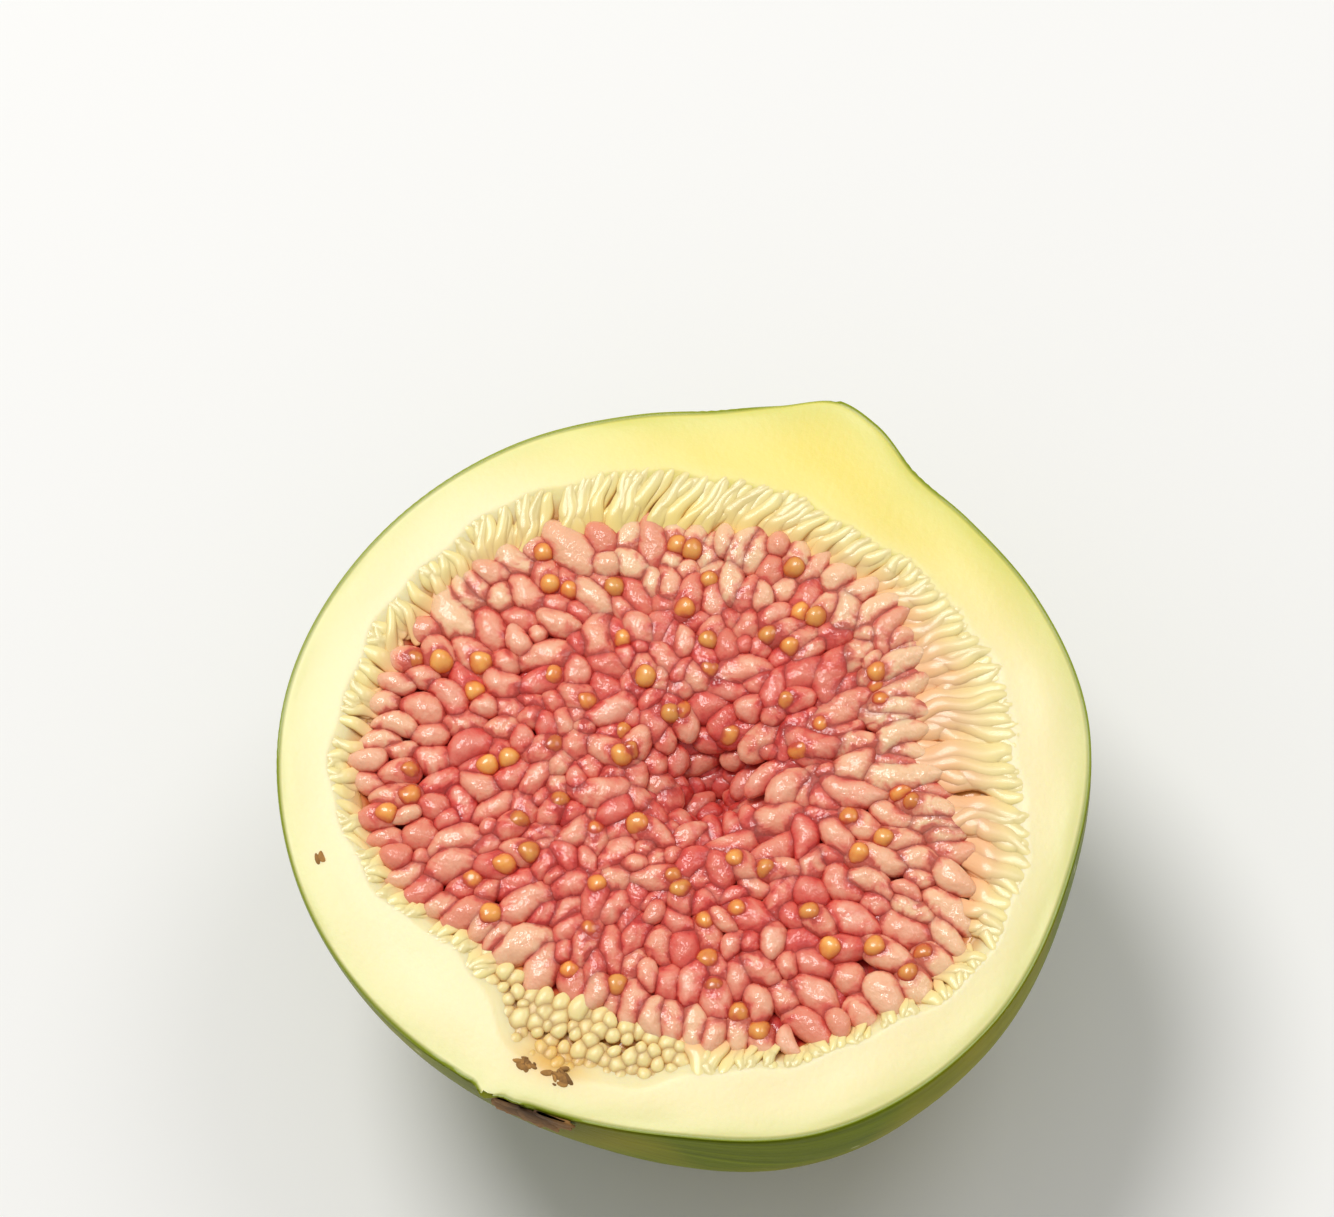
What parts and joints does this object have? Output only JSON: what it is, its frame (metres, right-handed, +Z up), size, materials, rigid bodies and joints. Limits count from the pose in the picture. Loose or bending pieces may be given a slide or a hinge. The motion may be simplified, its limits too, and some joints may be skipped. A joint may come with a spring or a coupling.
{
  "type": "fresh fig half",
  "caption": "Half of a fresh green fig, cut lengthwise through stem and eye: a rounded skin-and-flesh wall holding a red, seedy pulp, lying cut face up.",
  "frame": {"origin": "on the resting surface, under the middle of the fig's bounding box", "axes": "+Z up, square to the cut face; +Y along the fig's axis from the eye to the stem; +X to the right"},
  "size_m": [0.052, 0.0528, 0.0257],
  "materials": {
    "skin_and_flesh": "satin green skin outside, pale cream flesh on the cut face",
    "pulp": "wet, glossy red florets with golden seeds"
  },
  "bodies": {
    "root": {"fig_wall": "skin_and_flesh", "fig_pulp": "pulp"}
  },
  "joints": []
}
